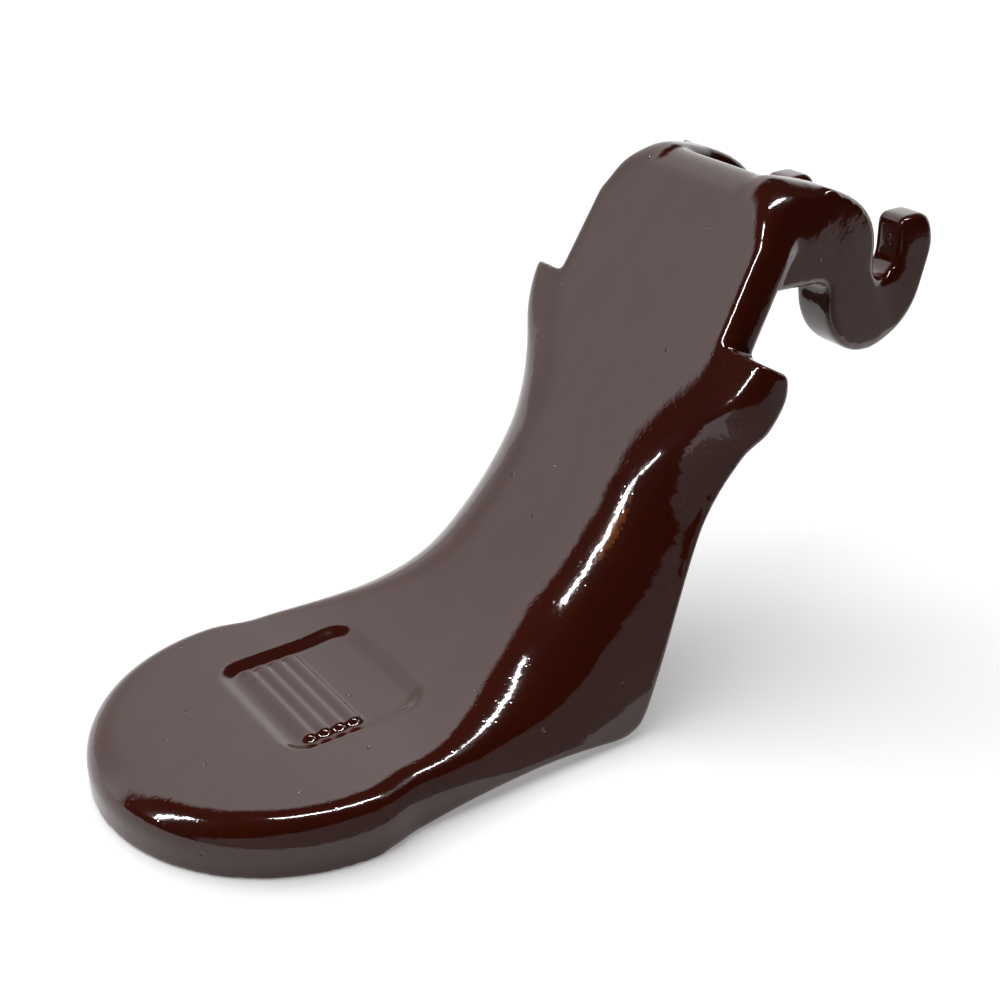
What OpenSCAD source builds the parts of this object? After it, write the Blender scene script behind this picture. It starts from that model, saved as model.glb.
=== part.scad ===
// Press paddle (tongue) of a stock drinking bowl: one enamelled iron casting, shown as its named regions.
// The round paddle is pushed by the animal's muzzle; two hooks at the back hang on the bowl's pivot pin.
// +Z up, the paddle points along -Y, X = 0 is the mirror plane, and the ground is Z = 0.

/* [Shank] */
// Half width across the flanks and ears
flank_half_w = 40; // [36:0.5:48]
// Height of the shoulders above the ground
shoulder_h = 82; // [76:0.5:92]
// Lean of the shank back from vertical, in degrees
lean = 30; // [26:0.5:34]
// Radius of the concave throat between shank and paddle
throat_r = 60; // [50:1:66]
// Wall of the casting
wall = 5.5; // [4:0.25:6.5]
// Rounding of the front corners along the throat
corner_r = 19; // [16:0.5:22]

/* [Flanks] */
// Horizontal run from the shoulders forward to the heel corners
heel_run = 27.5; // [25:0.5:33]
// Lean of the rear edge of the flanks, in degrees
rear_lean = 24.5; // [23:0.5:26]
// Rise of the arched foot between heel and paddle
arch_rise = 2.2; // [0:0.1:3]
// Depth of the ears, front to back
ear_depth = 12; // [11:0.2:15]
// Length of the solid ears along the shank
ear_len = 9; // [6:0.5:12]
// Rounding of the front corners at the ears
ear_corner_r = 3; // [2:0.5:8]

/* [Paddle] */
// Radius of the round paddle
paddle_r = 42.3; // [40:0.1:51]
// Height of the paddle face above the ground
paddle_h = 12.4; // [11:0.1:16]
// Horizontal reach from the shoulders to the centre of the round paddle
paddle_reach = 93; // [86:0.2:110]
// Rounding of the top edge of the paddle
paddle_edge_r = 7; // [4:0.5:8]

/* [Panel] */
// Half width of the recessed panel
panel_half_w = 18; // [14:0.5:21]
// Depth of the recess
panel_drop = 1.2; // [0.6:0.1:1.6]
// Reach of the panel in front of the paddle's centre
panel_front = 6; // [3:0.5:10]
// Angle of the throat that the panel climbs, in degrees
panel_climb = 11; // [6:0.5:14]
// Number of raised grip bars in the panel
bar_count = 4; // [2:1:5]
// Width of one grip bar
bar_w = 2.6; // [1.5:0.1:3]

/* [Upper plate] */
// Half width of the upper plate at the shoulders
plate_half_w = 31.2; // [28:0.1:34]
// Half width of the upper plate at the crown
crown_half_w = 29.2; // [25:0.1:30]
// Thickness of the upper plate
plate_t = 8.5; // [7:0.25:10]
// Edge rounding of the upper plate's front
plate_edge_r = 3; // [2:0.5:4]
// Length of the crown's bend, along the face
crown_bend = 8.5; // [6:0.5:10]
// Rounding of the crown's outer corners
crown_corner_r = 12; // [8:0.5:14]

/* [Arms and hooks] */
// Radius of the half-round pin seat
seat_r = 4.5; // [3.8:0.1:5.4]
// Width of one arm and hook
arm_w = 9; // [7:0.25:10]
// Half distance between the two arms' centres
arm_pitch = 19; // [17.5:0.1:20]
// Horizontal distance from the shoulders back to the pin
pin_run = 52.9; // [50:0.1:56]
// Height of the pin above the shoulders
pin_rise = 6.4; // [4:0.1:9]
// Outer radius of the hook's eye
eye_r = 16; // [14:0.1:18]
// Distance of the eye's centre forward of the pin
eye_ahead = 3.2; // [2:0.1:4]
// Drop of the eye's centre below the pin
eye_drop = 5; // [4:0.1:6]
// Height of the crown above the pin
arm_rise = 24.3; // [22:0.1:28]
// Thickness of the hook's upright tip
tip_t = 10.5; // [8:0.1:12.6]
// Height of the hook's tip above the pin
tip_rise = 8.3; // [6:0.1:10]

/* [Hidden] */

enamel = "#4a1a12";
arc_steps = 6;
fan_steps = 5;
round_fn = 96;
// Least run of straight wall past a rounding, and how far a cutter runs past what it cuts
clear = 0.5;
// How far the ears stand out past the flanks
ear_flare = 1;
// How far the ears' back corners are rounded off at the shoulders
ear_nip = 3;
// Raised bars in the panel: their height, and the border left around them
bar_h = 0.8;
bar_border = 4;

// Side view, as [y, z]: the shank's face starts at the shoulders and runs down against face_dir
face_dir = [sin(lean), cos(lean)];
inward = [cos(lean), -sin(lean)];
fan_span = 90 - lean;
tangent = throat_r * tan(fan_span / 2);
knee_s = (shoulder_h - paddle_h) / cos(lean) - tangent;
throat_y = -(shoulder_h - paddle_h) * tan(lean) - tangent;
throat_c = [throat_y, paddle_h + throat_r];
heel = [-heel_run, 0];
rear_dir = [sin(rear_lean), cos(rear_lean)];
heel_phi = atan2(heel[0] - throat_c[0], throat_c[1]);

// The middle strip of the wall is bent one way only; the corners start just outside it
mid_half_w = panel_half_w + 1;
throat_corner_r = min(corner_r, flank_half_w - mid_half_w - 1);

pin = [pin_run, shoulder_h + pin_rise];
eye = pin - [eye_ahead, eye_drop];
crown_s = (pin_rise + arm_rise) / cos(lean);
plate_len = crown_s - crown_bend;
crown_top = face_point(crown_s);
crown_back = crown_top + [4.5, -1];
hook_split = eye[0] - eye_r + 1;

// Centre of the whole casting front to back
front_y = -paddle_reach - paddle_r;
back_y = pin[0] + seat_r + tip_t;
mid_y = (front_y + back_y) / 2;

function cross2(a, b) = a[0] * b[1] - a[1] * b[0];
function ease(u) = let (v = max(0, min(1, u))) v * v * (3 - 2 * v);
function face_point(s) = [0, shoulder_h] + s * face_dir;
function fan_dir(phi) = [sin(phi), -cos(phi)];
function fan_point(phi, depth) = throat_c + (throat_r + depth) * fan_dir(phi);
function bezier(a, b, c, d, u) =
    pow(1 - u, 3) * a + 3 * pow(1 - u, 2) * u * b + 3 * (1 - u) * u * u * c + pow(u, 3) * d;
// Distance from a point to the rear edge of the flanks, along dir
function to_rear(from, dir) = cross2(heel - from, rear_dir) / cross2(dir, rear_dir);
function arch(y) = let (u = (y - throat_y) / (heel[0] - throat_y)) 4 * arch_rise * u * (1 - u);
function fan_depth(phi) =
    phi > heel_phi ? to_rear(throat_c, fan_dir(phi)) - throat_r
    : (throat_c[1] - arch(throat_y + throat_c[1] * tan(phi))) / cos(phi) - throat_r;

// A station is [face point, direction into the casting, depth, half width, corner radius]
function neck_station(u) =
    [[throat_y - (paddle_reach + throat_y) * u, paddle_h], [0, -1], paddle_h,
     flank_half_w + (paddle_r - flank_half_w) * ease(u), paddle_edge_r];
function fan_station(phi) =
    [fan_point(phi, 0), fan_dir(phi), fan_depth(phi), flank_half_w,
     paddle_edge_r + (throat_corner_r - paddle_edge_r) * ease(1.6 * phi / fan_span)];
// s runs up the face from the shoulders, so it is negative down the shank
function shank_station(s) =
    let (front = face_point(s), depth = to_rear(front, inward), near_ear = ease((s + 2.2 * ear_len) / ear_len),
         nip = ear_nip * pow(max(0, 1 + s / (0.7 * ear_len)), 2))
    [front, inward, depth + (ear_depth - depth) * near_ear - nip, flank_half_w + ear_flare * near_ear,
     ear_corner_r + (throat_corner_r - ear_corner_r) * ease(-s / knee_s * 1.3)];

// Corner of one side: an arc that ends short of the depth, as [x, depth] points at a given offset inside
function corner(st, inset) =
    let (r = st[4], cx = st[3] - r, turn = acos(max(0, 1 - (st[2] - clear) / r)))
    [for (i = [0:arc_steps]) let (a = turn * i / arc_steps) [cx + (r - inset) * sin(a), r - (r - inset) * cos(a)]];
function edge_x(st) = corner(st, 0)[arc_steps][0];
function reversed(list) = [for (i = [len(list) - 1:-1:0]) list[i]];
function wall_section(st) = concat(
    [[mid_half_w, 0]], corner(st, 0), [[edge_x(st), st[2]], [edge_x(st) - wall, st[2]]],
    reversed(corner(st, wall)), [[mid_half_w, wall]]);
function solid_section(st) = concat(
    [[mid_half_w, 0]], corner(st, 0), [[edge_x(st), st[2]], [mid_half_w, st[2]]]);
function slab_section(st) = let (side = concat(corner(st, 0), [[st[3], st[2]]]))
    concat([for (p = reversed(side)) [-p[0], p[1]]], side);
function place(st, p) = [p[0], st[0][0] + st[1][0] * p[1], st[0][1] + st[1][1] * p[1]];

// Skin through a row of sections that all have the same number of points
module loft(stations, sections) {
    n = len(sections[0]);
    m = len(sections);
    points = [for (i = [0:m - 1]) for (p = sections[i]) place(stations[i], p)];
    sides = [for (i = [0:m - 2]) for (j = [0:n - 1]) let (a = i * n + j, b = i * n + (j + 1) % n)
        each [[a, b, b + n], [a, b + n, a + n]]];
    // Each end is closed by strips that run from one side of the section to the other
    strips = [for (j = [0:n / 2 - 2]) [j, n - 1 - j, n - 2 - j, j + 1]];
    far = [for (q = strips) [for (k = [3:-1:0]) (m - 1) * n + q[k]]];
    polyhedron(points, concat(sides, strips, far), convexity = 6);
}

// Puts the origin under the middle of the casting's box
module placed() { color(enamel) translate([0, -mid_y, 0]) children(); }
module on_right() { placed() children(); }
module on_left() { placed() mirror([1, 0, 0]) children(); }

// Puts a drawing made in side view, as [y, z], across the width from x0 to x1
module across(x0, x1) {
    translate([x0, 0, 0]) rotate([90, 0, 90]) linear_extrude(x1 - x0) children();
}
module along_wall(stations) { loft(stations, [for (st = stations) wall_section(st)]); }

// Side-view outlines
module panel_outline(depth0, depth1) {
    y0 = -paddle_reach - panel_front;
    climb = [for (i = [0:arc_steps]) panel_climb * i / arc_steps];
    polygon(concat([[y0, paddle_h - depth0]], [for (phi = climb) fan_point(phi, depth0)],
                   [for (phi = reversed(climb)) fan_point(phi, depth1)], [[y0, paddle_h - depth1]]));
}
module fan_outline() {
    steps = 4 * fan_steps;
    turn = [for (i = [0:steps]) fan_span * i / steps];
    polygon(concat([for (phi = turn) fan_point(phi, 0)], [for (phi = reversed(turn)) fan_point(phi, wall)]));
}
module face_outline(s0, s1, depth) {
    polygon([face_point(s0), face_point(s1), face_point(s1) + depth * inward, face_point(s0) + depth * inward]);
}
module crown_outline() {
    front = face_point(plate_len);
    rear = front + plate_t * inward;
    roll = [for (i = [0:arc_steps]) bezier(face_point(crown_s - 5), crown_top - [0.7, 1], crown_top - [0, 0.2],
                                           crown_back, i / arc_steps)];
    back = [for (i = [1:arc_steps]) bezier(crown_back, crown_back + [2.5, -0.7], crown_back + [3, -3],
                                           rear, i / arc_steps)];
    polygon(concat([front], roll, back));
}
module arm_outline() {
    lip = pin + [-seat_r, 3.6];
    top = [for (i = [0:2 * arc_steps]) bezier(crown_back, crown_back + [15, -3.7], lip + [0, 11], lip,
                                              i / (2 * arc_steps))];
    tip = [[seat_r, tip_rise - 1.5], [seat_r + 1.5, tip_rise], [seat_r + tip_t - 3.5, tip_rise],
           [seat_r + tip_t - 1.5, tip_rise - 2], [seat_r + tip_t, 0], [seat_r + tip_t - 0.7, -eye_drop]];
    round_eye = [for (i = [0:3 * arc_steps]) let (a = -15 - 180 * i / (3 * arc_steps))
        eye + eye_r * [cos(a), sin(a)]];
    difference() {
        polygon(concat(top, [pin - [seat_r, 0], pin + [seat_r, 0]], [for (p = tip) pin + p], round_eye,
                       [face_point(crown_s / 3) + plate_t / 2 * inward, face_point(plate_len) + 2 * inward]));
        translate(pin) circle(seat_r, $fn = round_fn);
    }
}

module paddle_nose() {
    inner_r = paddle_r - max(paddle_edge_r, wall);
    placed() difference() {
        translate([0, 0, paddle_h - wall]) linear_extrude(wall) union() {
            intersection() {
                translate([0, -paddle_reach]) circle(inner_r, $fn = round_fn);
                translate([-inner_r, -paddle_reach - inner_r]) square([2 * inner_r, inner_r]);
            }
            translate([-mid_half_w, -paddle_reach]) square([2 * mid_half_w, paddle_reach + throat_y]);
        }
        across(-panel_half_w, panel_half_w) panel_outline(-clear, wall + clear);
    }
}
module paddle_rim() {
    inner_r = paddle_r - max(paddle_edge_r, wall);
    edge = [for (i = [0:arc_steps]) let (a = 90 * i / arc_steps)
        [paddle_r - paddle_edge_r + paddle_edge_r * sin(a), paddle_h - paddle_edge_r + paddle_edge_r * cos(a)]];
    placed() translate([0, -paddle_reach, 0]) rotate([0, 0, 180]) rotate_extrude(angle = 180, $fn = round_fn)
        polygon(concat([[inner_r, paddle_h - wall], [inner_r, paddle_h]], edge,
                       [[paddle_r, 0], [paddle_r - wall, 0], [paddle_r - wall, paddle_h - wall]]));
}
module panel_floor() {
    placed() across(-panel_half_w, panel_half_w) panel_outline(panel_drop, wall);
}
module panel_bars() {
    y0 = -paddle_reach - panel_front + bar_border;
    pitch = (throat_y - y0 - bar_w) / max(1, bar_count - 1);
    half_l = panel_half_w - bar_border;
    placed() for (i = [0:bar_count - 1]) translate([0, y0 + bar_w / 2 + pitch * i, paddle_h - panel_drop])
        linear_extrude(bar_h) union() {
            square([2 * half_l, bar_w], center = true);
            for (side = [-1, 1]) translate([side * half_l, 0]) circle(bar_w / 2, $fn = round_fn);
        }
}
module cheek() { along_wall([for (i = [0:2]) neck_station(1 - i / 2)]); }
module right_cheek() { on_right() cheek(); }
module left_cheek() { on_left() cheek(); }
module throat_plate() {
    placed() difference() {
        across(-mid_half_w, mid_half_w) fan_outline();
        across(-panel_half_w, panel_half_w) panel_outline(-clear, wall + clear);
    }
}
module heel_piece() {
    along_wall(concat([for (i = [0:fan_steps]) fan_station(heel_phi * i / fan_steps)],
                      [for (i = [1:2]) fan_station(heel_phi + (fan_span - heel_phi) * i / 4)]));
}
module right_heel() { on_right() heel_piece(); }
module left_heel() { on_left() heel_piece(); }
module flank() {
    along_wall(concat([for (i = [2:4]) fan_station(heel_phi + (fan_span - heel_phi) * i / 4)],
                      [for (i = [1:2 * fan_steps]) shank_station(-knee_s + (knee_s - ear_len) * i / (2 * fan_steps))]));
}
module right_flank() { on_right() flank(); }
module left_flank() { on_left() flank(); }
module shank_plate() { placed() across(-mid_half_w, mid_half_w) face_outline(-knee_s, -ear_len, wall); }
module shoulder_web() { placed() across(-mid_half_w, mid_half_w) face_outline(-ear_len, 0, plate_t); }
module ear() {
    stations = [for (i = [0:2]) shank_station(-ear_len * (1 - i / 2))];
    loft(stations, [for (st = stations) solid_section(st)]);
}
module right_ear() { on_right() ear(); }
module left_ear() { on_left() ear(); }
module upper_plate() {
    stations = [for (u = [0, 1]) [face_point(plate_len * u), inward, plate_t,
                                  plate_half_w + (crown_half_w - plate_half_w) * u, plate_edge_r]];
    placed() loft(stations, [for (st = stations) slab_section(st)]);
}
module crown() {
    corner_s = crown_s + 1 - crown_corner_r;
    placed() intersection() {
        across(-crown_half_w, crown_half_w) crown_outline();
        translate([0, 0, shoulder_h]) rotate([-lean, 0, 0]) translate([0, 2 * plate_t, 0]) rotate([90, 0, 0])
            linear_extrude(3 * plate_t) union() {
                translate([-crown_half_w, 0]) square([2 * crown_half_w, corner_s]);
                translate([-crown_half_w + crown_corner_r, 0])
                    square([2 * (crown_half_w - crown_corner_r), crown_s + crown_corner_r]);
                for (side = [-1, 1]) translate([side * (crown_half_w - crown_corner_r), corner_s])
                    circle(crown_corner_r, $fn = round_fn);
            }
    }
}
module arm_slice(y0, y1) {
    across(arm_pitch - arm_w / 2, arm_pitch + arm_w / 2) difference() {
        intersection() {
            arm_outline();
            translate([y0, 0]) square([y1 - y0, 2 * pin[1]]);
        }
        crown_outline();
        face_outline(-ear_len, plate_len, plate_t);
    }
}
module right_arm() { on_right() arm_slice(0, hook_split); }
module left_arm() { on_left() arm_slice(0, hook_split); }
module right_hook() { on_right() arm_slice(hook_split, back_y + clear); }
module left_hook() { on_left() arm_slice(hook_split, back_y + clear); }

paddle_nose();
paddle_rim();
panel_floor();
panel_bars();
left_cheek();
right_cheek();
throat_plate();
left_heel();
right_heel();
left_flank();
right_flank();
shank_plate();
shoulder_web();
left_ear();
right_ear();
upper_plate();
crown();
left_arm();
right_arm();
left_hook();
right_hook();
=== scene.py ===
"""Press paddle of a stock drinking bowl: one iron casting under dark brown vitreous enamel."""
import math
import numpy as np
import bpy
import bmesh
from mathutils import Matrix, Vector


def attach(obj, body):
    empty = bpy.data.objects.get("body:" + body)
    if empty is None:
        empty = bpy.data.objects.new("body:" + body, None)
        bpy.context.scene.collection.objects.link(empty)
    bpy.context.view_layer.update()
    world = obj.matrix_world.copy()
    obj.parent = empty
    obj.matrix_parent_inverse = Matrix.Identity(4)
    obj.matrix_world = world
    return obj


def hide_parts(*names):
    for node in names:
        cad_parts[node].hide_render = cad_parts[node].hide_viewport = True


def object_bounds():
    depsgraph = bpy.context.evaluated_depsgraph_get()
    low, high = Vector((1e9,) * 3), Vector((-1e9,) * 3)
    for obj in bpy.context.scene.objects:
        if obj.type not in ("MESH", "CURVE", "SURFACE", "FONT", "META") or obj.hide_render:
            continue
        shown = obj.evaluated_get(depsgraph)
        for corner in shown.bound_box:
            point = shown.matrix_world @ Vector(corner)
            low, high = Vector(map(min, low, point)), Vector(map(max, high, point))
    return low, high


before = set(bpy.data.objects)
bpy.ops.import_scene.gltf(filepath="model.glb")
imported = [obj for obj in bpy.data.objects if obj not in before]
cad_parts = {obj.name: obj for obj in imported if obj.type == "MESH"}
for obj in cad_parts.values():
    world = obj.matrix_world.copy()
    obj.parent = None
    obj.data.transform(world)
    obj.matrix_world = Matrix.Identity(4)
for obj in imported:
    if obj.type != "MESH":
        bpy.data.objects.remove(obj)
cad_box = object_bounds()

MM = 0.001

# ---- sizes, in millimetres; side view is (y, z) with y = 0 at the shoulders and z = 0 on the ground ----
# Shank, flanks and throat
FLANK_HALF_W = 40.0
SHOULDER_H = 82.0
LEAN = math.radians(30)
THROAT_R = 72.0
WALL = 5.5
CORNER_R = 27.0
HEEL_RUN = 27.5
REAR_LEAN = math.radians(24.5)
ARCH_RISE = 2.2
HEEL_BLEND = 7.0
FOOT_SPARE = 0.2
FOOT_R = 2.2

# Ears, whose outer skin falls away at a slight tilt
EAR_DEPTH = 12.0
EAR_LEN = 9.0
EAR_CORNER_R = 4.0
EAR_FOOT_R = 1.5
EAR_FLARE = 2.2
EAR_NIP = 3.0
EAR_TILT = math.radians(9.5)
EAR_RUN = 7.0
GENTLE_R = 45.0
FLARE_FROM = 32.0
FLARE_LEN = 26.0
TILT_LEN = 14.0
RUN_LEN = 30.0

# Paddle, with its sunk panel and raised bars
PADDLE_R = 42.3
PADDLE_H = 12.4
PADDLE_REACH = 93.0
PADDLE_EDGE_R = 7.0
NECK_LAP = 1.02
PANEL_HALF_W = 18.0
PANEL_DROP = 1.2
PANEL_FRONT = 6.0
PANEL_CLIMB = math.radians(11)
PANEL_CORNER_R = 5.0
PANEL_SLOPE = 4.2
PANEL_SHIFT = -1.6
BAR_COUNT = 4
BAR_W = 2.8
BAR_H = 1.1
BAR_SLOPE = 1.9
BAR_BORDER = 4.0
SLAB_T = 5.0
SEAM_SPARE = 0.7

# Upper plate, crown and the web behind it
PLATE_HALF_W = 31.2
CROWN_HALF_W = 29.2
PLATE_T = 8.5
PLATE_EDGE_R = 4.5
PLATE_BACK_R = 2.0
PLATE_ROOT = 4.0
CROWN_CORNER_R = 12.0
CROWN_ROLL = 6.0
CROWN_BACK_ROLL = 4.0
SADDLE_DROP = 0.9
WEB_HALF_W = 18.0
WEB_START = 15.5
WEB_LEN = 12.0
WEB_FRONT_R = 9.0
WEB_BACK_R = 5.0
SOFTEN_R = 14.0

# Arms and hooks
SEAT_R = 4.5
ARM_W = 9.0
ARM_PITCH = 19.0
ARM_TAPER = 0.125
TAPER_END = 55.0
ARM_EDGE_R = 1.3
ARM_CREST = Vector((15.0, -3.7))
ARM_FALL = Vector((0.0, 11.0))
ROOT_START = 15.0
ROOT_LEN = 23.0
ROOT_LOW = 91.3
PIN_RUN = 52.9
PIN_RISE = 6.4
LIP_RISE = 3.6
EYE_R = 16.0
EYE_AHEAD = 3.2
EYE_DROP = 5.0
ARM_RISE = 24.3
TIP_T = 10.5
TIP_RISE = 8.3

# Fusing the casting's solids into one skin
VOXEL = 0.5
SMOOTH_RUN = 6.5
CROWN_SMOOTHING = 160

FACE_DIR = Vector((math.sin(LEAN), math.cos(LEAN)))
INWARD = Vector((math.cos(LEAN), -math.sin(LEAN)))
REAR_DIR = Vector((math.sin(REAR_LEAN), math.cos(REAR_LEAN)))
FAN_SPAN = math.pi / 2 - LEAN
TANGENT = THROAT_R * math.tan(FAN_SPAN / 2)
KNEE_S = (SHOULDER_H - PADDLE_H) / math.cos(LEAN) - TANGENT
THROAT_C = Vector((-(SHOULDER_H - PADDLE_H) * math.tan(LEAN) - TANGENT, PADDLE_H + THROAT_R))
HEEL = Vector((-HEEL_RUN, 0.0))
HEEL_PHI = math.atan2(HEEL.x - THROAT_C.x, THROAT_C.y)
PIN = Vector((PIN_RUN, SHOULDER_H + PIN_RISE))
EYE = PIN - Vector((EYE_AHEAD, EYE_DROP))
CROWN_S = (PIN_RISE + ARM_RISE) / math.cos(LEAN)
CROWN_CORNER = Vector((19.0, 108.0))
CROWN = Vector((0.0, SHOULDER_H)) + CROWN_S * FACE_DIR
ARM_START = CROWN + Vector((4.5, -1.0))
LIP = PIN + Vector((-SEAT_R, LIP_RISE))
MID_Y = (-PADDLE_REACH - PADDLE_R + PIN.x + SEAT_R + TIP_T) / 2


# ---- small helpers ----
def ease(u):
    """A smooth step from 0 to 1."""
    u = max(0.0, min(1.0, u))
    return u * u * (3 - 2 * u)


def cross2(a, b):
    return a.x * b.y - a.y * b.x


def at(x, side):
    """A point of the casting in metres, from its x and its side-view point in millimetres."""
    return Vector((x, side.x - MID_Y, side.y)) * MM


def face_point(s):
    """A point of the leaning front face, s above the shoulders."""
    return Vector((0.0, SHOULDER_H)) + s * FACE_DIR


def fan_dir(phi):
    """Direction from the throat's centre into the casting, turned by phi from straight down to the rear."""
    return Vector((math.sin(phi), -math.cos(phi)))


def arc(centre, radius, start, stop, steps):
    """Points round a centre, in the side view."""
    angles = [start + (stop - start) * i / steps for i in range(steps + 1)]
    return [centre + radius * Vector((math.cos(a), math.sin(a))) for a in angles]


def quarter_drop(u):
    """How far a quarter circle has fallen at u of its run: 0 at its crest, 1 at its end."""
    return 1 - math.sqrt(max(0.0, 1 - u * u))


def to_rear(start, direction):
    """Distance from a point to the casting's rear plane."""
    return cross2(HEEL - start, REAR_DIR) / cross2(direction, REAR_DIR)


def bezier(a, b, c, d, u):
    v = 1 - u
    return v ** 3 * a + 3 * v * v * u * b + 3 * v * u * u * c + u ** 3 * d


# ---- stations along the body: (face point, direction into the casting, depth, half width, corner) ----
# A corner is (tilt, run, radius): the face falls away gently to the tilt, runs straight, then bends.
def neck_station(u):
    """From the throat (u = 0) to the middle of the paddle's round end (u = 1)."""
    start = Vector((THROAT_C.x - (PADDLE_REACH + THROAT_C.x) * u, PADDLE_H))
    half_w = FLANK_HALF_W + (PADDLE_R - FLANK_HALF_W) * ease(u)
    return start, Vector((0, -1)), PADDLE_H, half_w, (0.0, 0.0, PADDLE_EDGE_R)


def fan_station(phi):
    """Round the throat's curve; the walls end at the arch below or at the rear plane."""
    direction = fan_dir(phi)
    to_edge = to_rear(THROAT_C, direction) - THROAT_R
    y = THROAT_C.x + THROAT_C.y * math.tan(phi)
    u = (y - THROAT_C.x) / (HEEL.x - THROAT_C.x)
    to_arch = (THROAT_C.y - 4 * ARCH_RISE * u * (1 - u)) / math.cos(phi) - THROAT_R
    if phi < 0.5 * HEEL_PHI:
        to_edge = to_arch + 2 * HEEL_BLEND
    blend = max(0.0, 1 - abs(to_edge - to_arch) / HEEL_BLEND)
    depth = min(to_edge, to_arch) - blend * blend * HEEL_BLEND / 4
    radius = PADDLE_EDGE_R + (CORNER_R - PADDLE_EDGE_R) * ease(1.6 * phi / FAN_SPAN)
    return THROAT_C + THROAT_R * direction, direction, depth, FLANK_HALF_W, (0.0, 0.0, radius)


def shank_station(s):
    """Up the shank to the ears; s is negative below the shoulders."""
    start = face_point(s)
    depth = to_rear(start, INWARD)
    near_ear = ease((s + 2.2 * EAR_LEN) / EAR_LEN)
    nip = EAR_NIP * max(0.0, 1 + s / (0.7 * EAR_LEN)) ** 2
    half_w = FLANK_HALF_W + EAR_FLARE * (0.5 * near_ear + 0.5 * ease((s + FLARE_FROM) / FLARE_LEN))
    tilt = EAR_TILT * ease((s + KNEE_S) / TILT_LEN)
    run = EAR_RUN * ease((s + KNEE_S) / RUN_LEN)
    radius = EAR_CORNER_R + (CORNER_R - EAR_CORNER_R) * ease(-s / KNEE_S)
    depth += (EAR_DEPTH - depth) * near_ear - nip
    return start, INWARD, depth, half_w, (tilt, run, radius)


def corner(station, inset):
    """One side's corner from the face round to its edge, as (x, depth), at an offset inside the skin."""
    _, _, depth, half_w, (tilt, run, radius) = station
    start = half_w - GENTLE_R * math.sin(tilt) - run * math.cos(tilt) - radius * (1 - math.sin(tilt))
    points = []
    gentle = GENTLE_R - inset
    for i in range(6):
        a = tilt * i / 6
        points.append((start + gentle * math.sin(a), GENTLE_R - gentle * math.cos(a)))
    bend = max(0.4, radius - inset)
    thick = max(0.0, inset + bend - radius)
    centre_x = start + (GENTLE_R - radius) * math.sin(tilt) + run * math.cos(tilt) - thick
    centre_d = GENTLE_R - (GENTLE_R - radius) * math.cos(tilt) + run * math.sin(tilt)
    last = max(tilt, math.acos(max(0.0, min(1.0, (centre_d - depth + 0.5) / radius))))
    for i in range(17):
        a = tilt + (last - tilt) * i / 16
        points.append((centre_x + bend * math.sin(a), centre_d + thick - bend * math.cos(a)))
    return points


def mirrored(half):
    """A half section from the middle outwards, joined to its mirror image, left foot first."""
    return [(-x, d) for x, d in reversed(half)] + half


def foot_turn(x, depth, radius, start):
    """A quarter turn about (x, depth) that rounds off the foot of a wall."""
    return [(x + radius * math.cos(a), depth + radius * math.sin(a))
            for a in [start + math.pi / 2 * i / 5 for i in range(6)]]


def wall_section(station):
    """Section of the hollow body: a wall across the face and down both flanks."""
    outer = corner(station, 0)
    inner = corner(station, WALL)
    foot = station[2] + FOOT_SPARE
    edge = outer[-1][0]
    round_out = foot_turn(edge - FOOT_R, foot - FOOT_R, FOOT_R, 0)
    round_in = foot_turn(edge - WALL + FOOT_R, foot - FOOT_R, FOOT_R, math.pi / 2)
    inner = [(x, min(d, foot - FOOT_R - 0.3)) for x, d in inner]
    outer = [(x, min(d, foot - FOOT_R - 0.3)) for x, d in outer]
    over = mirrored([(0.4 * outer[0][0], 0.0)] + outer + round_out)
    under = mirrored([(0.4 * outer[0][0], WALL)] + inner + round_in[::-1])
    return over + under[::-1]


def solid_section(station):
    """Section through the ears, solid from face to back."""
    outer = corner(station, 0)
    edge = outer[-1][0]
    foot = station[2]
    outer = [(x, min(d, foot - EAR_FOOT_R - 0.3)) for x, d in outer]
    round_out = foot_turn(edge - EAR_FOOT_R, foot - EAR_FOOT_R, EAR_FOOT_R, 0)
    over = mirrored([(0.4 * outer[0][0], 0.0)] + outer + round_out)
    count = len(over) // 2
    under = mirrored([((edge - 2.0) * (i + 0.5) / count, foot) for i in range(count)])
    return over + under[::-1]


# ---- mesh building ----
def lofted(mesh, rings):
    """Adds a closed tube through rings of as many points each, with flat ends."""
    count = len(rings[0])
    made = bmesh.new()
    bmesh.ops.create_grid(made, x_segments=count, y_segments=len(rings) - 1, size=1.0)
    made.verts.ensure_lookup_table()
    for row, ring in enumerate(rings):
        for column in range(count + 1):
            made.verts[row * (count + 1) + column].co = ring[column % count]
    bmesh.ops.remove_doubles(made, verts=made.verts, dist=1e-6)
    open_edges = [e for e in made.edges if e.is_boundary]
    bmesh.ops.holes_fill(made, edges=open_edges, sides=0)
    add_to(mesh, made)


def add_to(mesh, made):
    """Adds a finished solid to the mesh that holds them all."""
    bmesh.ops.triangulate(made, faces=made.faces)
    bmesh.ops.recalc_face_normals(made, faces=made.faces)
    part = bpy.data.meshes.new("part")
    made.to_mesh(part)
    made.free()
    mesh.from_mesh(part)
    bpy.data.meshes.remove(part)


def along(mesh, stations, section):
    """Lofts a section along its stations."""
    rings = []
    for station in stations:
        start, direction = station[0], station[1]
        rings.append([at(x, start + direction * d) for x, d in section(station)])
    lofted(mesh, rings)


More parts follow.
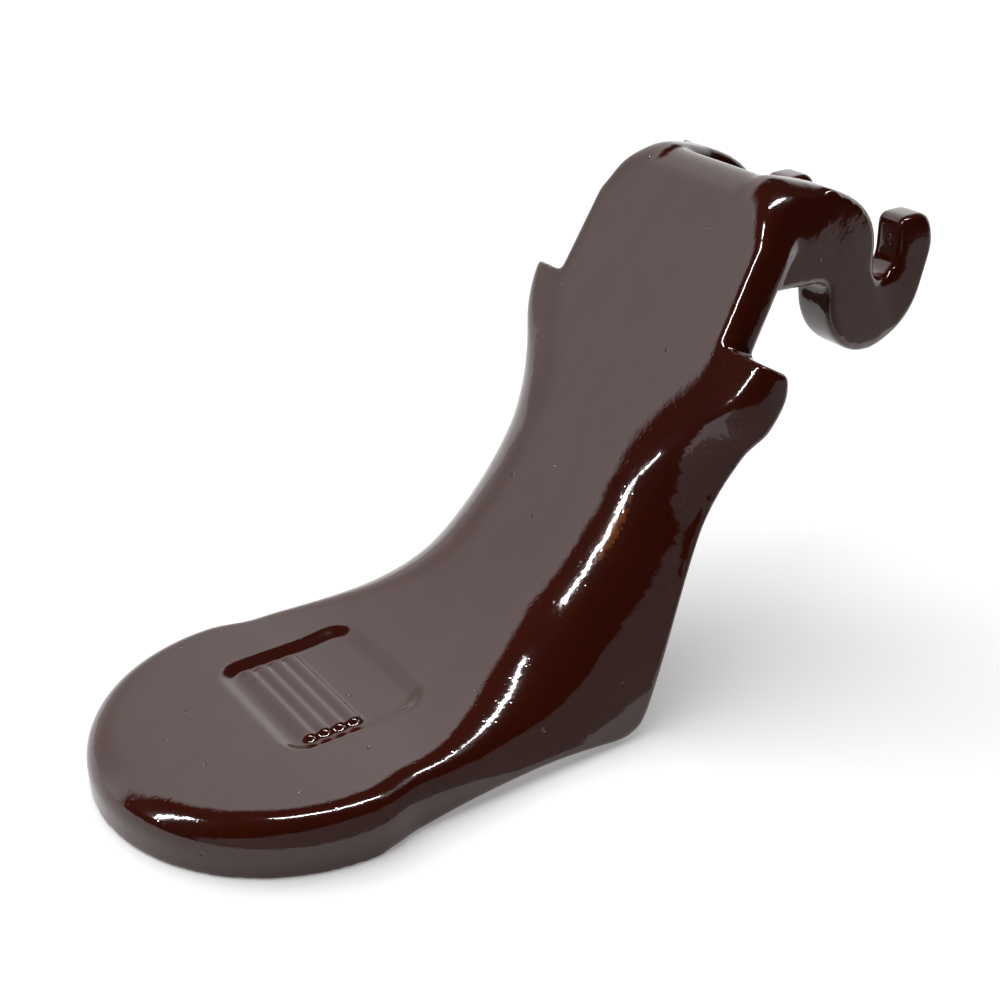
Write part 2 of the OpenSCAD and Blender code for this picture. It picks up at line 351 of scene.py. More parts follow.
def half_disc(mesh):
    """The round front of the paddle: its rim profile spun half a turn."""
    centre_x = PADDLE_R - PADDLE_EDGE_R
    centre_z = PADDLE_H - PADDLE_EDGE_R
    inner_r = PADDLE_EDGE_R - WALL
    edge = [(centre_x + PADDLE_EDGE_R * math.sin(a), centre_z + PADDLE_EDGE_R * math.cos(a))
            for a in [math.pi / 2 * i / 10 for i in range(11)]]
    hollow = [(centre_x + inner_r * math.sin(a), centre_z + inner_r * math.cos(a))
              for a in [math.pi / 2 * i / 4 for i in range(4, -1, -1)]]
    outline = [(0, PADDLE_H)] + edge + [(PADDLE_R, 0), (PADDLE_R - WALL, 0)] + hollow
    outline += [(0, PADDLE_H - WALL)]
    made = bmesh.new()
    ring = [made.verts.new(at(x, Vector((-PADDLE_REACH, z)))) for x, z in outline]
    face = made.faces.new(ring)
    bmesh.ops.spin(made, geom=[face] + list(face.edges) + ring, cent=at(0, Vector((-PADDLE_REACH, 0))),
                   axis=(0, 0, 1), angle=-math.pi, steps=96, use_merge=False)
    bmesh.ops.remove_doubles(made, verts=made.verts, dist=1e-6)
    open_edges = [e for e in made.edges if e.is_boundary]
    bmesh.ops.holes_fill(made, edges=open_edges, sides=0)
    add_to(mesh, made)


def plate_ring(s, half_w, front, back):
    """One section of the upper plate, rounded at its front and rear edges."""
    lead = min(PLATE_EDGE_R, (back - front) * 0.45)
    tail = min(PLATE_BACK_R, (back - front) * 0.45)
    points = []
    for radius, centre_d, a0 in ((lead, front + lead, math.pi / 2), (tail, back - tail, 0.0)):
        for i in range(7):
            a = a0 - math.pi / 2 * i / 6
            points.append((half_w - radius + radius * math.cos(a), centre_d - radius * math.sin(a)))
    ring = [(0.0, front)] + points + [(0.0, back)] + [(-x, d) for x, d in reversed(points)]
    start = face_point(s)
    return [at(x, start + INWARD * d) for x, d in ring]


def plate_and_crown(mesh):
    """The upper plate, with its rounded crown rolled back over its full thickness."""
    rings = []
    top = CROWN_S - SADDLE_DROP
    turn = top - CROWN_CORNER_R
    for i in range(21):
        s = -PLATE_ROOT + (turn + PLATE_ROOT) * i / 20
        u = max(0.0, s) / CROWN_S
        rings.append(plate_ring(s, PLATE_HALF_W + (CROWN_HALF_W - PLATE_HALF_W) * u, 0.0, PLATE_T))
    for i in range(1, 33):
        a = math.pi / 2 * i / 32
        s = turn + CROWN_CORNER_R * math.sin(a)
        half_w = CROWN_HALF_W - CROWN_CORNER_R + CROWN_CORNER_R * math.cos(a)
        front = CROWN_ROLL * quarter_drop(max(0.0, (s - top + CROWN_ROLL) / CROWN_ROLL))
        w = max(0.0, (s - top + CROWN_BACK_ROLL) / CROWN_BACK_ROLL)
        back = PLATE_T + 0.8 - 2.4 * quarter_drop(w)
        rings.append(plate_ring(s, half_w, front, max(front + 0.4, back)))
    lofted(mesh, rings)


def arm_crest(u):
    """The arms' upper edge in the side view, from the crown (u = 0) to the slot's lip (u = 1)."""
    return bezier(ARM_START, ARM_START + ARM_CREST, LIP + ARM_FALL, LIP, u)


def arm_top(y):
    """Height of the arms' upper edge at y, found by halving."""
    low, high = 0.0, 1.0
    for _ in range(30):
        mid = (low + high) / 2
        if arm_crest(mid).x < y:
            low = mid
        else:
            high = mid
    return arm_crest(low).y


def crown_drop(y):
    """How far the crown's front has rounded down at y."""
    return WEB_FRONT_R * quarter_drop(max(0.0, min(1.0, (ARM_START.x - y) / WEB_FRONT_R)))


def arm_outer(y):
    """Half width over the arms at y: they draw in towards the hooks."""
    return ARM_PITCH + ARM_W / 2 + ARM_TAPER * max(0.0, TAPER_END - y)


def crown_web(mesh):
    """The thick web that joins the arms along the crown."""
    rings = []
    for i in range(25):
        y = WEB_START + WEB_LEN * i / 24
        behind = max(0.0, min(1.0, (y - 22.5) / 5.2))
        top = arm_top(max(y, ARM_START.x)) - SADDLE_DROP - crown_drop(y)
        top -= WEB_BACK_R * quarter_drop(behind)
        low = min(100 + 0.5 * (y - 20), top - 0.5)
        across = [-WEB_HALF_W + WEB_HALF_W * k / 6 for k in range(13)]
        rings.append([at(x, Vector((y, top))) for x in across] + [at(-x, Vector((y, low))) for x in across])
    lofted(mesh, rings)


def arm_root(mesh, side):
    """Where an arm grows out of the crown: wide and well rounded there, slimming towards the hook."""
    rings = []
    for i in range(33):
        y = ROOT_START + ROOT_LEN * i / 32
        u = ease((y - 19) / 20)
        outer = arm_outer(y)
        inner = ARM_PITCH - ARM_W / 2 - 2.5 * (1 - u)
        top = arm_top(max(y, ARM_START.x)) - crown_drop(y)
        low = ROOT_LOW - 0.11 * y
        outer_round = (CROWN_CORNER_R - 8.2 * u, 10.0 - 6.2 * u)
        inner_round = (4.0 - 1.4 * u, 4.0 - 1.4 * u)
        corners = ((outer, top, 0, outer_round), (inner, top, 1, inner_round), (inner, low, 2, (1.8, 1.8)),
                   (outer, low, 3, (1.8, 1.8)))
        ring = []
        for x, z, quarter, (round_x, round_z) in corners:
            cx = x - round_x if quarter in (0, 3) else x + round_x
            cz = z - round_z if quarter in (0, 1) else z + round_z
            for k in range(11):
                a = math.pi / 2 * (quarter + k / 10)
                ring.append(at((cx + round_x * math.cos(a)) * side, Vector((y, cz + round_z * math.sin(a)))))
        rings.append(ring)
    lofted(mesh, rings)


def arm_side():
    """Side-view outline of one arm with its hook, as (y, z)."""
    inside = PIN + Vector((SEAT_R, 0))
    outside = inside + Vector((TIP_T, 0))
    back = EYE + Vector((-EYE_R, 0))
    points = [arm_crest(0.25 + 0.75 * i / 24) for i in range(25)]
    points += arc(PIN, SEAT_R, math.pi, 2 * math.pi, 20)
    points += [bezier(inside + Vector((0, TIP_RISE - 3.0)), inside + Vector((0, TIP_RISE - 0.8)),
                      inside + Vector((0.6, TIP_RISE)), inside + Vector((2.4, TIP_RISE)), i / 6)
               for i in range(7)]
    points += [bezier(outside + Vector((-4.2, TIP_RISE)), outside + Vector((-2.0, TIP_RISE)),
                      outside + Vector((-0.8, TIP_RISE - 2)), outside, i / 6)
               for i in range(7)]
    points += arc(EYE, EYE_R, -math.radians(15), -math.pi, 30)
    points += [bezier(back, back + Vector((0, 2.6)), back + Vector((-1.2, 4.0)),
                      back + Vector((-4.0, 4.6)), i / 6)
               for i in range(1, 7)]
    return points


def arm(mesh, side):
    """One arm with its hook: the outline drawn out across its width, its edges rounded."""
    made = bmesh.new()
    inner = ARM_PITCH - ARM_W / 2
    ring = [made.verts.new(at(inner * side, p)) for p in arm_side()]
    face = made.faces.new(ring)
    grown = bmesh.ops.extrude_face_region(made, geom=[face])
    moved = [g for g in grown["geom"] if isinstance(g, bmesh.types.BMVert)]
    for vert in moved:
        vert.co.x = arm_outer(vert.co.y / MM + MID_Y) * side * MM
    bmesh.ops.recalc_face_normals(made, faces=made.faces)
    rims = [e for e in made.edges if abs(e.verts[0].co.x - e.verts[1].co.x) < 2 * MM]
    bmesh.ops.bevel(made, geom=rims, offset=ARM_EDGE_R * MM, offset_type="OFFSET", segments=4, profile=0.5,
                    affect="EDGES", material=-1)
    add_to(mesh, made)


def object_from(mesh, name):
    """Turns a mesh in the making into an object in the scene."""
    data = bpy.data.meshes.new(name)
    mesh.to_mesh(data)
    mesh.free()
    made = bpy.data.objects.new(name, data)
    bpy.context.scene.collection.objects.link(made)
    return made


def applied(made):
    """Applies a piece's modifiers for good."""
    depsgraph = bpy.context.evaluated_depsgraph_get()
    data = bpy.data.meshes.new_from_object(made.evaluated_get(depsgraph))
    old = made.data
    made.modifiers.clear()
    made.data = data
    bpy.data.meshes.remove(old)


def rounded_box(x, y, half_x, half_y, radius):
    """Distance from a point to a rounded rectangle's edge; negative inside."""
    dx = abs(x) - half_x + radius
    dy = abs(y) - half_y + radius
    return math.hypot(max(dx, 0.0), max(dy, 0.0)) + min(max(dx, dy), 0.0) - radius


def panel_height(x, run):
    """Height of the panel's surface against the paddle's, for a point x across and run along the face."""
    first = -PADDLE_REACH - PANEL_FRONT
    last = THROAT_C.x + THROAT_R * PANEL_CLIMB
    x -= PANEL_SHIFT
    edge = rounded_box(x, run - (first + last) / 2, PANEL_HALF_W, (last - first) / 2, PANEL_CORNER_R)
    height = -PANEL_DROP * ease(0.5 - edge / PANEL_SLOPE)
    bar_first = first + BAR_BORDER + BAR_W / 2
    bar_half = PANEL_HALF_W - BAR_BORDER + BAR_W / 2
    pitch = (THROAT_C.x - BAR_W / 2 - bar_first) / (BAR_COUNT - 1)
    for i in range(BAR_COUNT):
        bar = rounded_box(x, run - bar_first - pitch * i, bar_half, BAR_W / 2, BAR_W / 2)
        height += BAR_H * ease(0.5 - bar / BAR_SLOPE)
    return height


def press_panel(data):
    """Sinks the panel into the paddle and leaves its bars standing."""
    count = len(data.vertices)
    places = np.empty(count * 3)
    normals = np.empty(count * 3)
    data.vertices.foreach_get("co", places)
    data.vertex_normals.foreach_get("vector", normals)
    places = places.reshape(-1, 3) / MM
    normals = normals.reshape(-1, 3)
    along_y = places[:, 1] + MID_Y
    near = (np.abs(places[:, 0]) < PANEL_HALF_W + 4) & (normals[:, 2] > 0.7)
    near &= (along_y > -PADDLE_REACH - PANEL_FRONT - 4) & (along_y < THROAT_C.x + 16)
    near &= places[:, 2] > PADDLE_H - 2
    for i in np.nonzero(near)[0]:
        y = places[i, 1] + MID_Y
        run = y if y < THROAT_C.x else THROAT_C.x + THROAT_R * math.asin((y - THROAT_C.x) / THROAT_R)
        places[i] += normals[i] * panel_height(places[i, 0], run)
    data.vertices.foreach_set("co", (places * MM).ravel())
    data.update()


def smoothed(casting, iterations, group=""):
    """Smooths the casting, or the part of it that a vertex group weighs."""
    smooth = casting.modifiers.new("cast edges", "SMOOTH")
    smooth.factor = 0.5
    smooth.iterations = iterations
    smooth.vertex_group = group
    applied(casting)


def soften_crown(casting):
    """Rounds the two corners where the plate's edge turns into an arm."""
    group = casting.vertex_groups.new(name="crown_corners")
    for side in (1, -1):
        corner_at = at(side * 25.0, CROWN_CORNER)
        for vert in casting.data.vertices:
            near = 1 - (vert.co - corner_at).length / (SOFTEN_R * MM)
            if near > 0:
                group.add([vert.index], ease(1.6 * near), "REPLACE")
    smoothed(casting, CROWN_SMOOTHING, "crown_corners")


def kept_in_box(data):
    """Holds the skin inside the part's box."""
    places = np.empty(len(data.vertices) * 3)
    data.vertices.foreach_get("co", places)
    places = np.clip(places.reshape(-1, 3), cad_box[0], cad_box[1])
    data.vertices.foreach_set("co", places.ravel())
    data.update()


def build_casting():
    """The whole casting as one skin: its solids overlap, are fused, smoothed and pressed with the panel."""
    mesh = bmesh.new()
    half_disc(mesh)
    stations = [neck_station(NECK_LAP - NECK_LAP * i / 12) for i in range(12)]
    stations += [fan_station(HEEL_PHI * i / 30) for i in range(31)]
    stations += [fan_station(HEEL_PHI + (FAN_SPAN - HEEL_PHI) * i / 20) for i in range(1, 21)]
    stations += [shank_station(-KNEE_S + (KNEE_S - EAR_LEN) * i / 30) for i in range(1, 31)]
    along(mesh, stations, wall_section)
    ear_stations = [shank_station((EAR_LEN + 0.5) * (i / 12 - 1)) for i in range(13)]
    along(mesh, ear_stations, solid_section)
    plate_and_crown(mesh)
    crown_web(mesh)
    for side in (1, -1):
        arm_root(mesh, side)
        arm(mesh, side)
    casting = object_from(mesh, "casting")
    remesh = casting.modifiers.new("fuse", "REMESH")
    remesh.mode = "VOXEL"
    remesh.voxel_size = VOXEL * MM
    applied(casting)
    smoothed(casting, int(SMOOTH_RUN / VOXEL ** 2))
    soften_crown(casting)
    press_panel(casting.data)
    kept_in_box(casting.data)
    casting.data.polygons.foreach_set("use_smooth", [True] * len(casting.data.polygons))
    return casting


# ---- cutting the casting into its named pieces ----
def keep_normals(data):
    """Stores the whole casting's normals, so that its pieces shade on across their joints."""
    count = len(data.vertices)
    normals = np.empty(count * 3)
    data.vertex_normals.foreach_get("vector", normals)
    store = data.attributes.new("whole_normal", "FLOAT_VECTOR", "POINT")
    store.data.foreach_set("vector", normals)


def closed_piece(mesh, name):
    """Turns a closed cut of the casting into an object that shades with the casting's normals."""
    bmesh.ops.recalc_face_normals(mesh, faces=mesh.faces)
    made = object_from(mesh, name)
    data = made.data
    normals = np.empty(len(data.vertices) * 3)
    data.attributes["whole_normal"].data.foreach_get("vector", normals)
    data.normals_split_custom_set_from_vertices(normals.reshape(-1, 3).tolist())
    data.attributes.remove(data.attributes["whole_normal"])
    return made


def cut_off(mesh, place, direction):
    """Keeps the side of a plane that its direction points away from, and closes the cut."""
    cut = bmesh.ops.bisect_plane(mesh, geom=mesh.verts[:] + mesh.edges[:] + mesh.faces[:], dist=1e-7,
                                 plane_co=place, plane_no=direction, clear_outer=True)
    edges = [e for e in cut["geom_cut"] if isinstance(e, bmesh.types.BMEdge) and e.is_boundary]
    if edges:
        bmesh.ops.triangle_fill(mesh, edges=edges, use_beauty=True, normal=direction)


def piece_of(whole, name, planes):
    """A copy of the casting cut down by planes."""
    mesh = bmesh.new()
    mesh.from_mesh(whole.data)
    for place, direction in planes:
        cut_off(mesh, place, direction)
    return closed_piece(mesh, name)


def skin_over_paddle(mesh):
    """The faces of the paddle's upper skin."""
    floor = (PADDLE_H - 3) * MM
    return [f for f in mesh.faces if f.normal.z > 0.5 and f.calc_center_median().z > floor]


def closed_below(mesh, gone, name):
    """Drops faces, then closes the rim that they leave with an upright wall and a flat bottom."""
    bmesh.ops.delete(mesh, geom=gone, context="FACES")
    rim = [e for e in mesh.edges if e.is_boundary]
    wall = bmesh.ops.extrude_edge_only(mesh, edges=rim)["geom"]
    for vert in [v for v in wall if isinstance(v, bmesh.types.BMVert)]:
        vert.co.z = (PADDLE_H - SLAB_T) * MM
    bottom = [e for e in wall if isinstance(e, bmesh.types.BMEdge) and e.is_boundary]
    bmesh.ops.triangle_fill(mesh, edges=bottom, use_beauty=True, normal=(0, 0, -1))
    return closed_piece(mesh, name)


def panel_and_paddle(whole, plane):
    """Lifts the panel's thin slab out of the paddle, and closes both."""
    mesh = bmesh.new()
    mesh.from_mesh(whole.data)
    cut_off(mesh, *plane)
    half_w = PANEL_HALF_W + PANEL_SLOPE
    low = Vector(((PANEL_SHIFT - half_w) * MM, (-PADDLE_REACH - PANEL_FRONT - PANEL_SLOPE - MID_Y) * MM))
    high = Vector(((PANEL_SHIFT + half_w) * MM, (THROAT_C.x - MID_Y - SEAM_SPARE) * MM))
    for axis in range(2):
        for value in (low[axis], high[axis]):
            place, direction = Vector((0, 0, 0)), Vector((0, 0, 0))
            place[axis], direction[axis] = value, 1.0
            near = skin_over_paddle(mesh)
            edges = list(dict.fromkeys(e for f in near for e in f.edges))
            verts = list(dict.fromkeys(v for f in near for v in f.verts))
            bmesh.ops.bisect_plane(mesh, geom=verts + edges + near, dist=1e-7,
                                   plane_co=place, plane_no=direction)
    mesh.faces.index_update()
    chosen = set()
    for face in skin_over_paddle(mesh):
        centre = face.calc_center_median()
        if low.x < centre.x < high.x and low.y < centre.y < high.y:
            chosen.add(face.index)
    top = mesh.copy()
    paddle = closed_below(mesh, [f for f in mesh.faces if f.index in chosen], "paddle")
    panel = closed_below(top, [f for f in top.faces if f.index not in chosen], "panel")
    return paddle, panel


# ---- materials ----
# Place and size of the right flank's orange fleck patch: real specks, partly a painted reflection streak
# beside the highlight
FLECKS_AND_SHEEN_AT = Vector((21.5, 11.5, 41.5)) * MM
FLECKS_AND_SHEEN_SIZE = Vector((4, 4, 20)) * MM


def linear(hex_colour):
    """sRGB hex to linear RGBA."""
    values = [int(hex_colour[i:i + 2], 16) / 255 for i in (1, 3, 5)]
    return [v / 12.92 if v <= 0.04045 else ((v + 0.055) / 1.055) ** 2.4 for v in values] + [1.0]


def add_node(tree, kind, settings=None, inputs=None, links=None):
    """Adds a node with its settings, its fixed inputs and its incoming links, by name or number."""
    made = tree.nodes.new(kind)
    for name, value in (settings or {}).items():
        setattr(made, name, value)
    for name, value in (inputs or {}).items():
        made.inputs[name].default_value = value
    for name, source in (links or {}).items():
        tree.links.new(source, made.inputs[name])
    return made


def vitreous_enamel(name, pits):
    """Glass enamel fused on cast iron: deep gloss over red-brown, with the orange peel and pinholes of a
    sprayed and fired coat, and lighter orange flecks in one patch of the right flank that are partly painted
    reflection."""
    material = bpy.data.materials.new(name)
    material.use_nodes = True
    tree = material.node_tree
    tree.nodes.clear()
    place = add_node(tree, "ShaderNodeTexCoord").outputs["Object"]

    # Slow changes of coat thickness: the brown is redder where the glass is thin
    cloud = add_node(tree, "ShaderNodeTexNoise", inputs={"Scale": 1 / (22 * MM), "Detail": 4.0},
                     links={"Vector": place})
    brown = add_node(tree, "ShaderNodeValToRGB", links={"Fac": cloud.outputs["Fac"]})
    for element, position, colour in zip(brown.color_ramp.elements, (0.36, 0.66), ("#381109", "#3D1307")):
        element.position = position
        element.color = linear(colour)

    # Orange flecks, a millimetre or so across, in one stretched patch of the right flank: real specks in the
    # glaze, made lighter and laid along the flank's highlight as a painted reflection streak
    patch_place = add_node(tree, "ShaderNodeMapping", {"vector_type": "TEXTURE"},
                           {"Location": FLECKS_AND_SHEEN_AT, "Rotation": (-LEAN, 0, 0), "Scale": FLECKS_AND_SHEEN_SIZE},
                           {"Vector": place})
    patch = add_node(tree, "ShaderNodeTexGradient", {"gradient_type": "SPHERICAL"},
                     links={"Vector": patch_place.outputs["Vector"]})
    specks = add_node(tree, "ShaderNodeTexNoise",
                      inputs={"Scale": 1 / (1.1 * MM), "Detail": 3.0, "Roughness": 0.6},
                      links={"Vector": place})
    both = add_node(tree, "ShaderNodeMath", {"operation": "MULTIPLY"},
                    links={0: patch.outputs["Fac"], 1: specks.outputs["Fac"]})
    flecks_and_sheen = add_node(tree, "ShaderNodeMapRange", inputs={"From Min": 0.27, "From Max": 0.35},
                      links={"Value": both.outputs[0]})
    # Mixes the lighter orange flecks into the brown: real specks and partly painted reflection
    flecks_and_sheen_colour = add_node(tree, "ShaderNodeMix", {"data_type": "RGBA"}, {"B": linear("#6E3810")},
                     {"Factor": flecks_and_sheen.outputs[0], "A": brown.outputs["Color"]})

    # Pinholes: rare dark dots where gas broke through the glass
    cells = add_node(tree, "ShaderNodeTexVoronoi", inputs={"Scale": 1 / (9 * MM)}, links={"Vector": place})
    holes = add_node(tree, "ShaderNodeMapRange", inputs={"From Min": 0.035, "From Max": 0.06},
                     links={"Value": cells.outputs["Distance"]})

    # Orange peel, 2 mm across, over a slower 12 mm swell; 1.6 mm pits from the iron's sand skin
    swell = add_node(tree, "ShaderNodeTexNoise", inputs={"Scale": 1 / (12 * MM), "Detail": 1.0},
                     links={"Vector": place})
    peel = add_node(tree, "ShaderNodeTexNoise", inputs={"Scale": 1 / (2 * MM), "Detail": 1.5},
                    links={"Vector": place})
    grit = add_node(tree, "ShaderNodeTexVoronoi", inputs={"Scale": 1 / (1.6 * MM)}, links={"Vector": place})
    pit = add_node(tree, "ShaderNodeMapRange", inputs={"From Min": 0.10, "From Max": 0.24},
                   links={"Value": grit.outputs["Distance"]})
    normal = None
    layers = ((swell.outputs["Fac"], 0.35, 0.6), (peel.outputs["Fac"], 0.26, 0.15),
              (pit.outputs[0], pits, 0.1), (holes.outputs[0], 0.6, 0.25))
    for height, strength, depth in layers:
        links = {"Height": height}
        if normal:
            links["Normal"] = normal
        bump = add_node(tree, "ShaderNodeBump", inputs={"Strength": strength, "Distance": depth * MM},
                        links=links)
        normal = bump.outputs["Normal"]

    shader = add_node(tree, "ShaderNodeBsdfPrincipled", inputs={"Roughness": 0.08, "IOR": 1.55},
                      links={"Base Color": flecks_and_sheen_colour.outputs["Result"], "Normal": normal})
    add_node(tree, "ShaderNodeOutputMaterial", links={"Surface": shader.outputs["BSDF"]})
    return material


# ---- the object ----
# Where the casting is divided: s on the front face, and y
SHOULDER_CUT = 3.2
ROOT_CUT = 31.0

casting = build_casting()
keep_normals(casting.data)

neck_cut = (at(0, Vector((THROAT_C.x, 0))), Vector((0, 1, 0)))
knee_cut = (at(0, face_point(-KNEE_S)), Vector((0, FACE_DIR.x, FACE_DIR.y)))
shoulder_cut = (at(0, face_point(SHOULDER_CUT)), Vector((0, FACE_DIR.x, FACE_DIR.y)))
root_cut = (at(0, Vector((ROOT_CUT, 0))), Vector((0, 1, 0)))
middle_cut = (Vector((0, 0, 0)), Vector((1, 0, 0)))


def far_side(cut):
    return cut[0], -cut[1]


paddle, panel = panel_and_paddle(casting, neck_cut)
throat = piece_of(casting, "throat", [far_side(neck_cut), knee_cut])
shank = piece_of(casting, "shank", [far_side(knee_cut), shoulder_cut])
head = piece_of(casting, "head", [far_side(shoulder_cut), root_cut])
right_hook_arm = piece_of(casting, "right_hook_arm", [far_side(root_cut), far_side(middle_cut)])
left_hook_arm = piece_of(casting, "left_hook_arm", [far_side(root_cut), middle_cut])
bpy.data.objects.remove(casting)

STANDS_FOR = {
    paddle: ("paddle_nose", "paddle_rim", "left_cheek", "right_cheek"),
    panel: ("panel_floor", "panel_bars"),
    throat: ("throat_plate", "left_heel", "right_heel"),
    shank: ("shank_plate", "left_flank", "right_flank", "left_ear", "right_ear"),
    head: ("upper_plate", "shoulder_web", "crown"),
    right_hook_arm: ("right_arm", "right_hook"),
    left_hook_arm: ("left_arm", "left_hook"),
}
enamel = vitreous_enamel("vitreous_enamel_brown", 0.13)
panel_enamel = vitreous_enamel("vitreous_enamel_brown_panel", 0.05)
for piece, nodes in STANDS_FOR.items():
    piece.data.materials.clear()
    piece.data.materials.append(panel_enamel if piece == panel else enamel)
    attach(piece, "root")
    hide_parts(*nodes)


# ---- floor, light and camera ----
def white_paper(name, lift):
    """Matt white paper, which the camera and the glaze see lifted towards white."""
    material = bpy.data.materials.new(name)
    material.use_nodes = True
    tree = material.node_tree
    tree.nodes.clear()
    rays = add_node(tree, "ShaderNodeLightPath").outputs
    seen = add_node(tree, "ShaderNodeMath", {"operation": "MAXIMUM"},
                    links={0: rays["Is Camera Ray"], 1: rays["Is Glossy Ray"]})
    seen_too = add_node(tree, "ShaderNodeMath", {"operation": "MAXIMUM"},
                        links={0: seen.outputs[0], 1: rays["Is Transmission Ray"]})
    matte = add_node(tree, "ShaderNodeBsdfDiffuse", inputs={"Color": linear("#F4F4F4")})
    glow = add_node(tree, "ShaderNodeEmission", inputs={"Color": (lift, lift, lift, 1.0)},
                    links={"Strength": seen_too.outputs[0]})
    both = add_node(tree, "ShaderNodeAddShader", links={0: matte.outputs[0], 1: glow.outputs[0]})
    add_node(tree, "ShaderNodeOutputMaterial", links={"Surface": both.outputs[0]})
    return material


def add_floor_and_backdrop():
    """A wide floor, with a round wall of white paper at its far edge that only the camera sees."""
    mesh = bmesh.new()
    bmesh.ops.create_grid(mesh, x_segments=1, y_segments=1, size=FLOOR_HALF)
    floor = object_from(mesh, "floor")
    floor.data.materials.append(white_paper("white_floor_paper", FLOOR_LIFT))

    mesh = bmesh.new()
    ring = bmesh.ops.create_circle(mesh, cap_ends=False, segments=96, radius=BACKDROP_R)["verts"]
    edges = list(dict.fromkeys(edge for vert in ring for edge in vert.link_edges))
    wall = bmesh.ops.extrude_edge_only(mesh, edges=edges)["geom"]
    risen = [v for v in wall if isinstance(v, bmesh.types.BMVert)]
    bmesh.ops.translate(mesh, verts=risen, vec=(0, 0, BACKDROP_H))
    backdrop = object_from(mesh, "backdrop")
    backdrop.data.materials.append(white_paper("white_backdrop_paper", BACKDROP_LIFT))
    backdrop.visible_glossy = False
    backdrop.visible_diffuse = False
    backdrop.visible_shadow = False


def add_card(name, colour, low, high):
    """An upright card on the right, which keeps the white floor out of the glaze."""
    mesh = bmesh.new()
    bmesh.ops.create_grid(mesh, x_segments=1, y_segments=1, size=0.5)
    bmesh.ops.rotate(mesh, verts=mesh.verts, cent=(0, 0, 0), matrix=Matrix.Rotation(math.pi / 2, 3, "Y"))
    bmesh.ops.scale(mesh, verts=mesh.verts, vec=(1, CARD_DEPTH, high - low))
    bmesh.ops.translate(mesh, verts=mesh.verts, vec=(CARD_X, CARD_Y, (low + high) / 2))
    card = object_from(mesh, name)
    material = bpy.data.materials.new(name + "_paper")
    material.use_nodes = True
    tree = material.node_tree
    tree.nodes.clear()
    matte = add_node(tree, "ShaderNodeBsdfDiffuse", inputs={"Color": linear(colour)})
    add_node(tree, "ShaderNodeOutputMaterial", links={"Surface": matte.outputs[0]})
    card.data.materials.append(material)
    card.visible_camera = False
    card.visible_diffuse = False
    card.visible_shadow = False


def add_strip(name, direction, length, width, power, along_axis):
    """A narrow tube of light, seen from the casting in the given direction and running along an axis."""
    lamp = bpy.data.lights.new(name, "AREA")
    lamp.shape = "RECTANGLE"
    lamp.size = length
    lamp.size_y = width
    lamp.energy = power
    made = bpy.data.objects.new(name, lamp)
    aim = Vector(direction).normalized()
    run = Vector(along_axis) - aim * aim.dot(Vector(along_axis))
    run.normalize()
    turn = Matrix((run, aim.cross(run), aim)).transposed()
    made.matrix_world = Matrix.Translation(LAMP_AIM + aim * LAMP_DISTANCE) @ turn.to_4x4()
    made.visible_diffuse = False
    bpy.context.scene.collection.objects.link(made)


def add_sky_light():
    """Even light from overhead for the floor and the colour of the glaze."""
    lamp = bpy.data.lights.new("overhead_light", "SUN")
    lamp.energy = SKY_POWER
    lamp.angle = SKY_SPREAD
    made = bpy.data.objects.new("overhead_light", lamp)
    made.rotation_euler = (math.radians(12), math.radians(-14), 0)
    made.visible_glossy = False
    bpy.context.scene.collection.objects.link(made)


def add_camera():
    """The camera, above the casting and to the front right of it."""
    azimuth, elevation, roll = math.radians(56.83), math.radians(27.57), math.radians(1.07)
    ahead = Vector((-math.sin(azimuth) * math.cos(elevation), math.cos(azimuth) * math.cos(elevation),
                    -math.sin(elevation)))
    level = Vector((math.cos(azimuth), math.sin(azimuth), 0))
    down = ahead.cross(level)
    right = level * math.cos(roll) + down * math.sin(roll)
    up = right.cross(ahead)
    camera = bpy.data.cameras.new("camera")
    camera.lens = CAMERA_LENS
    camera.sensor_width = 36
    made = bpy.data.objects.new("camera", camera)
    turn = Matrix((right, up, -ahead)).transposed()
    made.matrix_world = Matrix.Translation(CAMERA_AT) @ turn.to_4x4()
    bpy.context.scene.collection.objects.link(made)
    bpy.context.scene.camera = made


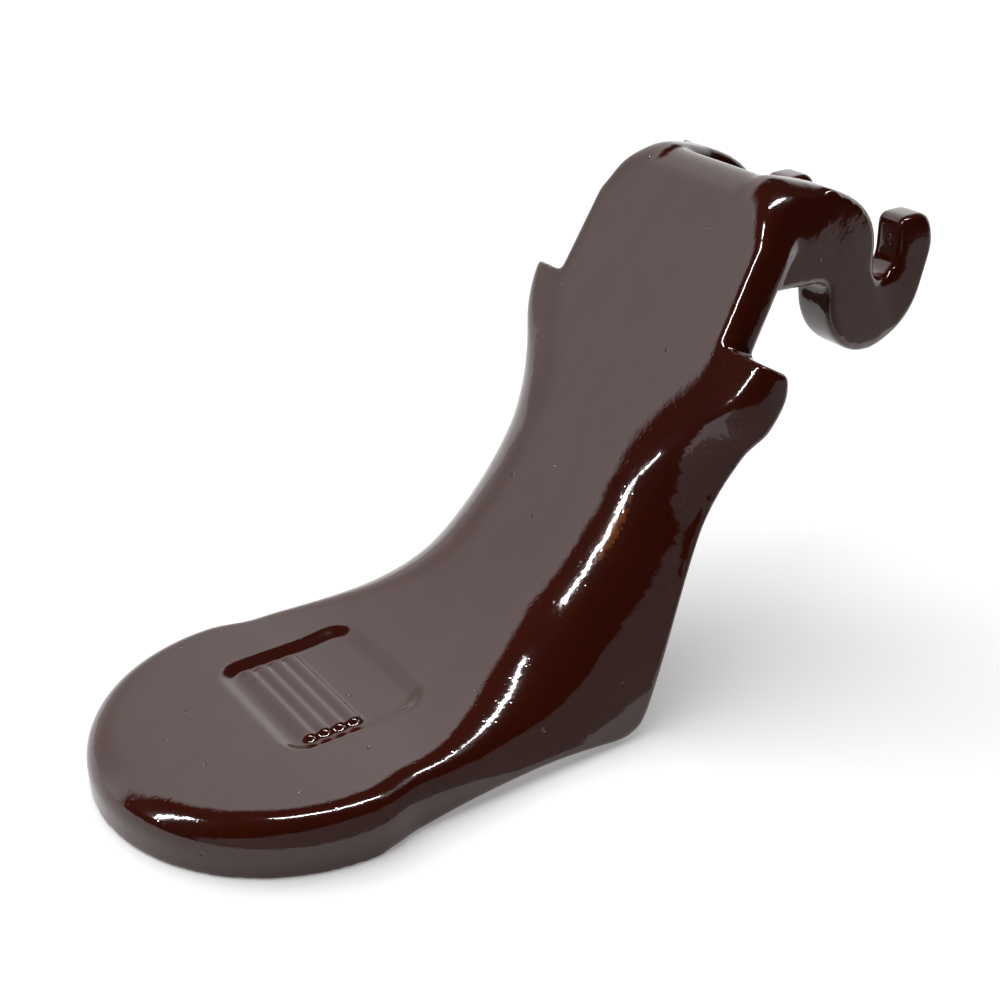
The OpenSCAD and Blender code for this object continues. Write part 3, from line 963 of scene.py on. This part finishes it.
def add_world():
    """A dark studio with a bright wall behind and one on the left, which dims towards straight left."""
    world = bpy.data.worlds.new("studio")
    world.use_nodes = True
    tree = world.node_tree
    tree.nodes.clear()
    place = add_node(tree, "ShaderNodeTexCoord").outputs["Generated"]

    def facing(axis):
        return add_node(tree, "ShaderNodeVectorMath", {"operation": "DOT_PRODUCT"}, {1: axis},
                        {0: place}).outputs["Value"]

    def step(value, start, stop, low, high):
        return add_node(tree, "ShaderNodeMapRange", {"interpolation_type": "SMOOTHSTEP"},
                        {"From Min": start, "From Max": stop, "To Min": low, "To Max": high},
                        {"Value": value}).outputs[0]

    # A wall starts and reaches its full brightness at these cosines from its axis
    left = facing((-1, 0, 0))
    behind = facing((-0.25, 0.97, 0))
    wall = add_node(tree, "ShaderNodeMath", {"operation": "MAXIMUM"},
                    links={0: step(left, 0.52, 0.62, 0.0, 1.0), 1: step(behind, 0.80, 0.93, 0.0, 1.0)})
    faded = add_node(tree, "ShaderNodeMath", {"operation": "MULTIPLY"},
                     links={0: wall.outputs[0], 1: step(left, 0.62, 0.95, 1.0, 0.45)})
    level = add_node(tree, "ShaderNodeMapRange", inputs={"To Min": DARK_SIDE, "To Max": BRIGHT_WALL},
                     links={"Value": faded.outputs[0]})
    room = add_node(tree, "ShaderNodeBackground", inputs={"Color": (1, 1, 1, 1)},
                    links={"Strength": level.outputs[0]})
    add_node(tree, "ShaderNodeOutputWorld", links={"Surface": room.outputs[0]})
    bpy.context.scene.world = world


# Sizes and places in metres, with the light levels
FLOOR_HALF = 12.0
FLOOR_LIFT = 0.26
BACKDROP_R = 0.97 * FLOOR_HALF
BACKDROP_H = 3.4
BACKDROP_LIFT = 0.9
CARD_X = 0.09
CARD_SPLIT = 0.06
CARD_TOP = 0.5
CARD_DEPTH = 0.65
CARD_Y = -0.025
SKY_POWER = 2.35
SKY_SPREAD = math.radians(70)
DARK_SIDE = 0.03
BRIGHT_WALL = 1.7
LAMP_DISTANCE = 1.2
LAMP_AIM = Vector((0, 0, 0.06))
CAMERA_AT = Vector((272.6, -181.4, 214.6)) * MM
CAMERA_LENS = 59.8

add_floor_and_backdrop()
add_card("black_card", "#101010", CARD_SPLIT, CARD_TOP)
add_card("grey_card", "#A8A8A8", 0.0, CARD_SPLIT)
add_world()
add_sky_light()
add_strip("window_strip", (-0.18, -0.80, 0.56), 0.78, 0.055, 13.0, (0.1, 0.5, 0.83))
add_strip("ceiling_strip", (0.07, 0.28, 0.95), 1.1, 0.06, 14.0, (0.4, 1.0, -0.2))
add_camera()
bpy.context.scene.view_settings.view_transform = "Standard"
